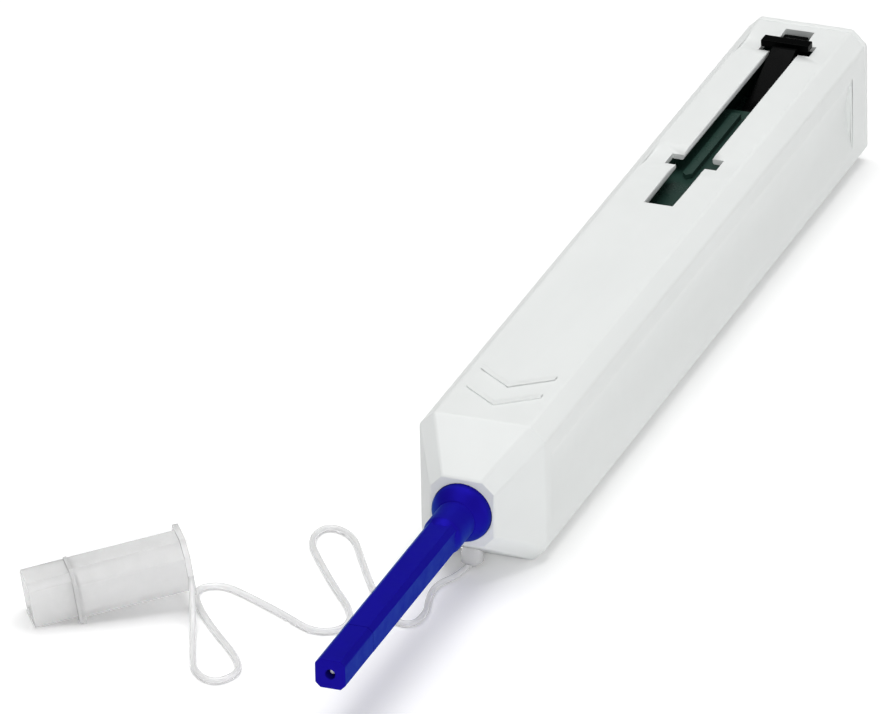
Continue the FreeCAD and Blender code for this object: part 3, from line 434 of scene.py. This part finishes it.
FINISHES = {
    finish.slot: finish
    for finish in (
        MouldedPlastic(Slot.WHITE, (0.84, 0.86, 0.85), roughness=0.5, specular=0.3),
        MouldedPlastic(
            Slot.BLACK, (0.021, 0.055, 0.043), roughness=0.3, grain=0.3 * MM, mottle=0.3,
            specular=0.4, sheen_colour=(0.8, 1.0, 0.95)),
        MouldedPlastic(
            Slot.LATCH, (0.0006, 0.0008, 0.0008), roughness=0.28, mottle=0.3, specular=0.03),
        MouldedPlastic(
            Slot.BLUE, (0.012, 0.006, 0.34), roughness=0.46, mottle=0.12, specular=0.01,
            metallic=0.3, sheen_colour=(0.02, 0.95, 1.0)),
        MouldedPlastic(Slot.GREY, (0.50, 0.51, 0.52), roughness=0.45),
        ClearPlastic(Slot.CLEAR, WHITE, roughness=0.22, transmission=0.55, relief=0.006 * MM),
        ClearPlastic(
            Slot.STRAP, WHITE, roughness=0.16, transmission=0.32, relief=0.0001 * MM,
            haze=9.0 * MM),
        WoundThread(Slot.THREAD, (0.88, 0.88, 0.86)),
        WoundThread(Slot.USED, (0.74, 0.72, 0.66)),
        DrawnSteel(Slot.STEEL, (0.56, 0.56, 0.55), roughness=0.3),
    )
}


# ---------------------------------------------------------------- pieces

def add_object(name: str, data: bpy.types.ID) -> bpy.types.Object:
    """Puts a new object in the scene, at the origin.

    Args:
        name: The object's name.
        data: The mesh, curve, lamp or camera that it holds.

    Returns:
        The new object.
    """
    piece = bpy.data.objects.new(name, data)
    bpy.context.scene.collection.objects.link(piece)
    return piece


def place_of(point: Point) -> Vector:
    """A place in the frame.

    Args:
        point: The distance across, the station and the height, in millimetres.

    Returns:
        The place in metres.
    """
    across, station, height = point
    return Vector((across * MM, SHOULDER + station * MM, height * MM))


def is_broad(line: bmesh.types.BMEdge, width: float) -> bool:
    """Tells an edge whose faces on both sides are wider than a width."""
    return min(face.calc_area() for face in line.link_faces) >= width * line.calc_length()


class Workshop:
    """Makes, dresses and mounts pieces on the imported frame."""

    def __init__(self, frame: dict[str, Any]) -> None:
        """Keeps the frame and builds every finish.
        """
        self.nodes: dict[str, bpy.types.Object] = frame["nodes"]
        self.materials = {slot: finish.build() for slot, finish in FINISHES.items()}

    def dress(self, piece: bpy.types.Object, slot: Slot) -> None:
        """Gives a piece its finish.

        Args:
            piece: A new piece or a CAD node.
            slot: The finish's slot.
        """
        piece.data.materials.clear()
        piece.data.materials.append(self.materials[slot])

    def dress_nodes(self, slot: Slot, *names: str) -> None:
        """Gives CAD nodes their finish.

        Args:
            slot: The finish's slot.
            *names: The nodes.
        """
        for name in names:
            self.dress(self.nodes[name], slot)
            LOG.info("node %s: %s", name, slot.value)

    def mount(self, piece: bpy.types.Object, body: str, slot: Slot, *nodes: str) -> None:
        """Mounts a new piece on a body, with its finish and the nodes that it stands for.

        Args:
            piece: The new piece.
            body: The body that it rides on.
            slot: Its finish.
            *nodes: The CAD nodes that it replaces.
        """
        self.dress(piece, slot)
        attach(piece, body)
        if nodes:
            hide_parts(*nodes)
        LOG.info("piece %s on %s", piece.name, body)

    def softened(self, name: str, node: str, edge: float,
                 fine_edge: float | None = None) -> bpy.types.Object:
        """A copy of a CAD node with its sharp edges rounded.

        Args:
            name: The new piece's name.
            node: The CAD node.
            edge: The width of the rounding.
            fine_edge: The width on short outer edges, where it differs. Edges of no length, left
                by the first pass, hold this one down to nearly nothing, so it keeps them crisp.

        Returns:
            The new piece.
        """
        form = self.merged(node)
        bmesh.ops.dissolve_limit(
            form, angle_limit=FLAT_TURN, verts=form.verts, edges=form.edges)
        if fine_edge is None:
            self.round_edges(form, edge)
        else:
            self.round_edges(
                form, edge,
                lambda line: line.calc_length() >= LONG_EDGE and is_broad(line, edge))
            self.round_edges(
                form, fine_edge,
                lambda line: line.is_convex and edge < line.calc_length() < LONG_EDGE
                and is_broad(line, edge))
        return self.from_bmesh(name, form)

    def smoothed(self, name: str, node: str) -> bpy.types.Object:
        """A smooth-shaded copy of a CAD node.

        Args:
            name: The new piece's name.
            node: The CAD node.

        Returns:
            The new piece.
        """
        return self.from_bmesh(name, self.merged(node))

    def merged(self, node: str) -> bmesh.types.BMesh:
        """Copies a CAD node's mesh and joins its triangles.

        Args:
            node: The CAD node.

        Returns:
            The copy.
        """
        form = bmesh.new()
        form.from_mesh(self.nodes[node].data)
        bmesh.ops.remove_doubles(form, verts=form.verts, dist=MERGE_GAP)
        return form

    def add_block(self, form: bmesh.types.BMesh, size: Point, middle: Point) -> None:
        """Adds a plain block to a form.

        Args:
            form: The mesh to add to.
            size: The block's lengths along the axes.
            middle: Its middle.
        """
        block = bmesh.ops.create_cube(form, size=1.0)["verts"]
        bmesh.ops.scale(form, vec=size, verts=block)
        bmesh.ops.translate(form, vec=middle, verts=block)

    def round_edges(self, form: bmesh.types.BMesh, width: float,
                    chosen: Callable[[bmesh.types.BMEdge], bool] = lambda line: True) -> None:
        """Rounds the chosen sharp edges of a form.

        Args:
            form: The mesh to change.
            width: The width of the rounding.
            chosen: Tells which edges are wanted, all without it.
        """
        sharp = [line for line in form.edges
                 if line.calc_face_angle(0.0) > SHARP_TURN and chosen(line)]
        bmesh.ops.bevel(
            form, geom=sharp, offset=width, offset_type="OFFSET", affect="EDGES",
            segments=EDGE_SEGMENTS, profile=0.5, clamp_overlap=True, material=-1)

    def from_bmesh(self, name: str, form: bmesh.types.BMesh) -> bpy.types.Object:
        """Makes a smooth-shaded piece whose flat faces stay flat.

        Args:
            name: The piece's name.
            form: The finished mesh, which is freed.

        Returns:
            The new piece.
        """
        mesh = bpy.data.meshes.new(name)
        for face in form.faces:
            face.smooth = True
        form.to_mesh(mesh)
        form.free()
        mesh.set_sharp_from_angle(angle=SMOOTH_TURN)
        piece = add_object(name, mesh)
        weighted = piece.modifiers.new("flat faces", "WEIGHTED_NORMAL")
        weighted.keep_sharp = True
        return piece


# ---------------------------------------------------------------- sub-assemblies

@dataclass(frozen=True)
class CoilSpring:
    """A coil spring on the carriage, which shortens by its travel as its joint moves; these fields
    are not used here.
    """

    name: str
    node: str
    joint: str
    axis: Point
    fixed_end: Point
    length: float
    travel: float

    def build(self, shop: Workshop) -> None:
        """Builds and mounts the spring.

        Args:
            shop: The workshop.
        """
        coil = shop.smoothed(self.name, self.node)
        shop.mount(coil, "carriage", Slot.STEEL, self.node)
        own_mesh(coil)


@dataclass
class Housing:
    """The white casing, which the rest of the pen slides in."""

    body: ClassVar[str] = "housing"
    edge: float = 0.5 * MM
    small_edge: float = 0.12 * MM

    def build(self, shop: Workshop) -> None:
        """Builds and mounts the casing and its rear cap.

        Args:
            shop: The workshop.
        """
        shell = shop.softened("casing", "housing", self.edge, self.small_edge)
        shop.mount(shell, self.body, Slot.WHITE, "housing")
        end = shop.softened("casing_end", "rear_cap", self.edge)
        shop.mount(end, self.body, Slot.WHITE, "rear_cap")


@dataclass
class Carriage:
    """The sliding frame with the fixed parts of the thread path."""

    body: ClassVar[str] = "carriage"
    edge: float = 0.15 * MM
    push_spring: CoilSpring = CoilSpring(
        "nozzle_spring", "return_spring", "nozzle_push", axis=(0.0, 1.0, 0.0),
        fixed_end=(0.0, -25.0 * MM, 0.0), length=14.0 * MM, travel=10.0 * MM)
    lift_spring: CoilSpring = CoilSpring(
        "thumb_spring", "latch_spring", "latch_press", axis=(0.0, 0.0, 1.0),
        fixed_end=(0.0, 0.0, 13.5 * MM), length=2.7 * MM, travel=0.72 * MM)

    def build(self, shop: Workshop) -> None:
        """Builds the frame and its springs, and dresses the small parts on it.

        Args:
            shop: The workshop.
        """
        deck = shop.softened("deck", "carriage_frame", self.edge)
        shop.mount(deck, self.body, Slot.BLACK, "carriage_frame")
        shop.dress_nodes(Slot.BLACK, "guide_tube")
        shop.dress_nodes(
            Slot.STEEL, "cam_pin", "supply_axle", "take_up_axle", "latch_pin", "thread_guide_pins",
            "brake_leaf", "click_leaf")
        self.push_spring.build(shop)
        self.lift_spring.build(shop)
        shop.dress_nodes(Slot.THREAD, "cleaning_thread")


@dataclass
class Latch:
    """The thumb latch with its T-bar, and the step behind the bar."""

    body: ClassVar[str] = "latch"
    edge: float = 0.18 * MM
    step_size: Point = (3.8 * MM, 3.7 * MM, 1.6 * MM)
    step_middle: Point = (0.0, 62.15 * MM, 20.5 * MM)

    def build(self, shop: Workshop) -> None:
        """Builds and mounts the latch.

        Args:
            shop: The workshop.
        """
        lever = shop.softened("thumb_latch", "latch_lever", self.edge)
        shop.mount(lever, self.body, Slot.LATCH, "latch_lever")
        form = bmesh.new()
        shop.add_block(form, self.step_size, self.step_middle)
        shop.round_edges(form, self.edge)
        shop.mount(shop.from_bmesh("thumb_step", form), self.body, Slot.LATCH)


@dataclass
class Nozzle:
    """The blue nozzle that pushes in, and the parts behind it."""

    body: ClassVar[str] = "nozzle"
    edge: float = 0.2 * MM

    def build(self, shop: Workshop) -> None:
        """Builds and mounts the collar, barrel and tip.

        Args:
            shop: The workshop.
        """
        collar = shop.softened("collar", "nozzle_collar", self.edge)
        shop.mount(collar, self.body, Slot.BLUE, "nozzle_collar")
        barrel = shop.softened("barrel", "nozzle_barrel", self.edge)
        shop.mount(barrel, self.body, Slot.BLUE, "nozzle_barrel")
        tip = shop.softened("tip_sleeve", "nozzle_tip", self.edge)
        shop.mount(tip, self.body, Slot.BLUE, "nozzle_tip")
        shop.dress_nodes(Slot.BLACK, "nozzle_shank", "drive_rack")


@dataclass
class ThreadWorks:
    """The turning core and the two reels."""

    def build(self, shop: Workshop) -> None:
        """Dresses the turning parts.

        Args:
            shop: The workshop.
        """
        shop.dress_nodes(Slot.STEEL, "core_tube")
        shop.dress_nodes(Slot.THREAD, "cleaning_wick", "fresh_thread_coil")
        shop.dress_nodes(Slot.USED, "used_thread_coil")
        shop.dress_nodes(
            Slot.GREY, "cam_barrel", "supply_reel", "take_up_reel", "drive_pinion", "ratchet_wheel")


@dataclass
class Tether:
    """The clear guide cap on its strap, and the anchor under the nose.

    The cap's angles are in degrees. The strap's route is in millimetres: the distance across, the
    station and the height of each point.
    """

    body: ClassVar[str] = "housing"
    edge: float = 0.18 * MM
    strap_radius: float = 0.45 * MM
    length: float = 167.7 * MM
    cap_turn: float = 55.8
    cap_lean: float = 7.9
    cap_spot: Point = (-34.3 * MM, SHOULDER - 26.4 * MM, 3.189 * MM)
    ridge_size: Point = (7.64 * MM, 0.55 * MM, 7.44 * MM)
    ridge_middle: Point = (0.0, -16.7 * MM, 3.6 * MM)
    ridge_edge: float = 0.12 * MM
    shoulder: float = 1.9 * MM
    foot_size: Point = (1.5 * MM, 1.0 * MM, 1.2 * MM)
    foot_middle: Point = (2.9 * MM, -16.45 * MM, -0.2 * MM)
    route: ClassVar[tuple[Point, ...]] = (
        (0.0, -5.1, 1.0), (-0.7, -8.6, 0.5), (-2.7, -12.0, 0.5), (-2.3, -16.4, 0.5),
        (-0.9, -20.6, 0.5), (-1.6, -25.2, 0.5), (-6.2, -23.4, 0.5), (-10.2, -17.0, 0.5),
        (-14.8, -9.4, 0.5), (-19.2, -1.6, 0.5), (-23.9, -0.2, 0.5), (-24.7, -5.0, 0.5),
        (-21.0, -10.6, 0.5), (-16.2, -17.2, 0.5), (-10.8, -23.8, 0.5), (-10.0, -29.0, 0.5),
        (-13.8, -31.2, 0.5), (-19.6, -27.6, 0.5), (-25.6, -24.4, 0.5), (-31.2, -21.8, 0.5),
        (-34.6, -24.2, 0.5), (-31.9, -29.4, 0.5), (-27.0, -35.4, 0.5), (-21.4, -41.4, 0.5),
        (-19.2, -45.6, 0.5), (-21.4, -49.8, 0.5), (-25.4, -47.6, 0.5), (-27.6, -42.4, 0.5),
        (-30.0, -36.4, 1.0), (-31.0, -33.6, 2.8), (-32.65, -30.12, 5.51),
    )

    def build(self, shop: Workshop) -> None:
        """Builds the cap, the strap and the anchor.

        Args:
            shop: The workshop.
        """
        cap = shop.softened("clear_cap", "guide_cap", self.edge)
        shop.mount(cap, self.body, Slot.CLEAR, "guide_cap")
        ridge = self.ridge(shop)
        shop.mount(ridge, self.body, Slot.CLEAR)
        shop.dress_nodes(Slot.CLEAR, "tether_anchor")
        strap = self.strap()
        shop.mount(strap, self.body, Slot.STRAP, "tether_strap")

    def ridge(self, shop: Workshop) -> bpy.types.Object:
        """The slim moulded ridge where the cap's sleeve meets its block, with the near-side foot.

        Args:
            shop: The workshop.

        Returns:
            The new piece.
        """
        form = bmesh.new()
        shop.add_block(form, self.ridge_size, self.ridge_middle)
        top = [line for line in form.edges
               if abs(line.verts[0].co.y - line.verts[1].co.y) > MERGE_GAP
               and line.verts[0].co.z > self.ridge_middle[2]]
        bmesh.ops.bevel(
            form, geom=top, offset=self.shoulder, offset_type="OFFSET", affect="EDGES", segments=1,
            profile=0.5, material=-1)
        shop.add_block(form, self.foot_size, self.foot_middle)
        shop.round_edges(form, self.ridge_edge)
        turned = Matrix.Rotation(-math.radians(self.cap_turn), 4, "Z")
        leaned = Matrix.Rotation(math.radians(self.cap_lean), 4, "X")
        form.transform(Matrix.Translation(self.cap_spot) @ turned @ leaned)
        return shop.from_bmesh("cap_ridge", form)

    def strap(self) -> bpy.types.Object:
        """The strap as one smooth curve.

        Returns:
            The new curve.
        """
        curve = bpy.data.curves.new("clear_strap", "CURVE")
        curve.dimensions = "3D"
        curve.bevel_depth = self.strap_radius
        curve.bevel_resolution = 4
        curve.resolution_u = 10
        curve.use_fill_caps = True
        line = curve.splines.new("NURBS")
        line.points.add(len(self.route) - 1)
        for point, place in zip(line.points, self.route):
            point.co = (*place_of(place), 1.0)
        line.order_u = 3
        line.use_endpoint_u = True
        return add_object("clear_strap", curve)


# ---------------------------------------------------------------- studio

@dataclass(frozen=True)
class Lamp:
    """A square soft lamp that faces the pen."""

    name: str
    place: Point
    side: float
    watts: float

    def build(self) -> None:
        """Builds the lamp."""
        light = bpy.data.lights.new(self.name, "AREA")
        light.size = self.side
        light.energy = self.watts
        lamp = add_object(self.name, light)
        lamp.location = self.place
        lamp.rotation_euler = (-Vector(self.place)).to_track_quat("-Z", "Y").to_euler()


@dataclass
class Studio:
    """A pale table, soft light and the camera.

    The camera's angles are in degrees, and its lens and sensor in millimetres.
    """

    lamps: ClassVar[tuple[Lamp, ...]] = (
        Lamp("key", (-0.1, 0.12, 1.0), side=0.9, watts=8.6),
        Lamp("front", (0.32, -1.0, 0.38), side=0.5, watts=3.3),
        Lamp("side", (1.0, 0.1, 0.3), side=0.5, watts=1.55),
    )
    glow: float = 0.12
    ambient: float = 0.21
    mirrored: float = 0.12
    table_reach: float = 3.0
    table_colour: Colour = (0.98, 0.98, 0.98)
    table_roughness: float = 0.9
    turn: float = 21.36
    dip: float = 26.75
    roll: float = -1.18
    distance: float = 1983.0 * MM
    aim: Point = (0.0, 70.0, 10.0)
    aside: float = 30.44 * MM
    lift: float = 11.03 * MM
    lens: float = 551.6
    sensor: float = 36.0
    far_clip: float = 20.0

    def build(self) -> None:
        """Builds the floor, the world, the lamps and the camera."""
        self.floor()
        self.world()
        for lamp in self.lamps:
            lamp.build()
        self.camera()

    def floor(self) -> None:
        """A plain floor that keeps shadows and shows white elsewhere."""
        form = bmesh.new()
        bmesh.ops.create_grid(form, x_segments=1, y_segments=1, size=self.table_reach)
        mesh = bpy.data.meshes.new("table")
        form.to_mesh(mesh)
        form.free()
        add_object("table", mesh)
        sheet = NodeSheet("table")
        sheet.shade(
            Base_Color=self.table_colour, Roughness=self.table_roughness, Specular_IOR_Level=0.0)
        path = sheet.node("ShaderNodeLightPath")
        camera, glossy, through = (
            Value(sheet, path.outputs[f"Is {ray} Ray"])
            for ray in ("Camera", "Glossy", "Transmission"))
        glow = sheet.node(
            "ShaderNodeEmission", {},
            {"Color": WHITE, "Strength": (camera + glossy + through) * self.glow})
        both = sheet.node(
            "ShaderNodeAddShader", {},
            {0: sheet.shader.outputs["BSDF"], 1: glow.outputs["Emission"]})
        sheet.tree.links.new(both.outputs["Shader"], sheet.output.inputs["Surface"])
        mesh.materials.append(sheet.material)

    def world(self) -> None:
        """A pale surround: white to the camera and through glass, dim in reflections."""
        world = bpy.data.worlds.new("surround")
        bpy.context.scene.world = world
        world.use_nodes = True
        nodes, links = world.node_tree.nodes, world.node_tree.links
        strength = nodes["Background"].inputs["Strength"]
        nodes["Background"].inputs["Color"].default_value = (*WHITE, 1.0)
        path = nodes.new("ShaderNodeLightPath")
        last = None
        for ray, level in (("Glossy", self.mirrored), ("Transmission", 1.0), ("Camera", 1.0)):
            mix = nodes.new("ShaderNodeMix")
            mix.inputs["A"].default_value = self.ambient
            mix.inputs["B"].default_value = level
            links.new(path.outputs[f"Is {ray} Ray"], mix.inputs["Factor"])
            if last is not None:
                links.new(last, mix.inputs["A"])
            last = mix.outputs["Result"]
        links.new(last, strength)

    def camera(self) -> None:
        """The camera, far off with a long lens."""
        turn, dip, roll = (math.radians(angle) for angle in (self.turn, self.dip, self.roll))
        right = Vector((math.cos(turn), math.sin(turn), 0.0))
        ahead = Vector((
            -math.sin(turn) * math.cos(dip), math.cos(turn) * math.cos(dip), -math.sin(dip)))
        up = right.cross(ahead)
        across = math.cos(roll) * right + math.sin(roll) * up
        upward = math.cos(roll) * up - math.sin(roll) * right
        place = (
            place_of(self.aim) - ahead * self.distance - across * self.aside
            - upward * self.lift)
        data = bpy.data.cameras.new("camera")
        data.sensor_width = self.sensor
        data.lens = self.lens
        data.clip_end = self.far_clip
        camera = add_object("camera", data)
        turned = Matrix((across, upward, -ahead)).transposed().to_4x4()
        camera.matrix_world = Matrix.Translation(place) @ turned
        bpy.context.scene.camera = camera


def main() -> None:
    """Builds the studio and every sub-assembly."""
    logging.basicConfig(level=logging.INFO, format="%(name)s: %(message)s")
    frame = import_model()
    bpy.context.scene.view_settings.view_transform = "Standard"
    Studio().build()
    shop = Workshop(frame)
    for assembly in (Tether(), Housing(), Carriage(), Latch(), Nozzle(), ThreadWorks()):
        LOG.info("%s", type(assembly).__name__)
        assembly.build(shop)


if __name__ == "__main__":
    main()
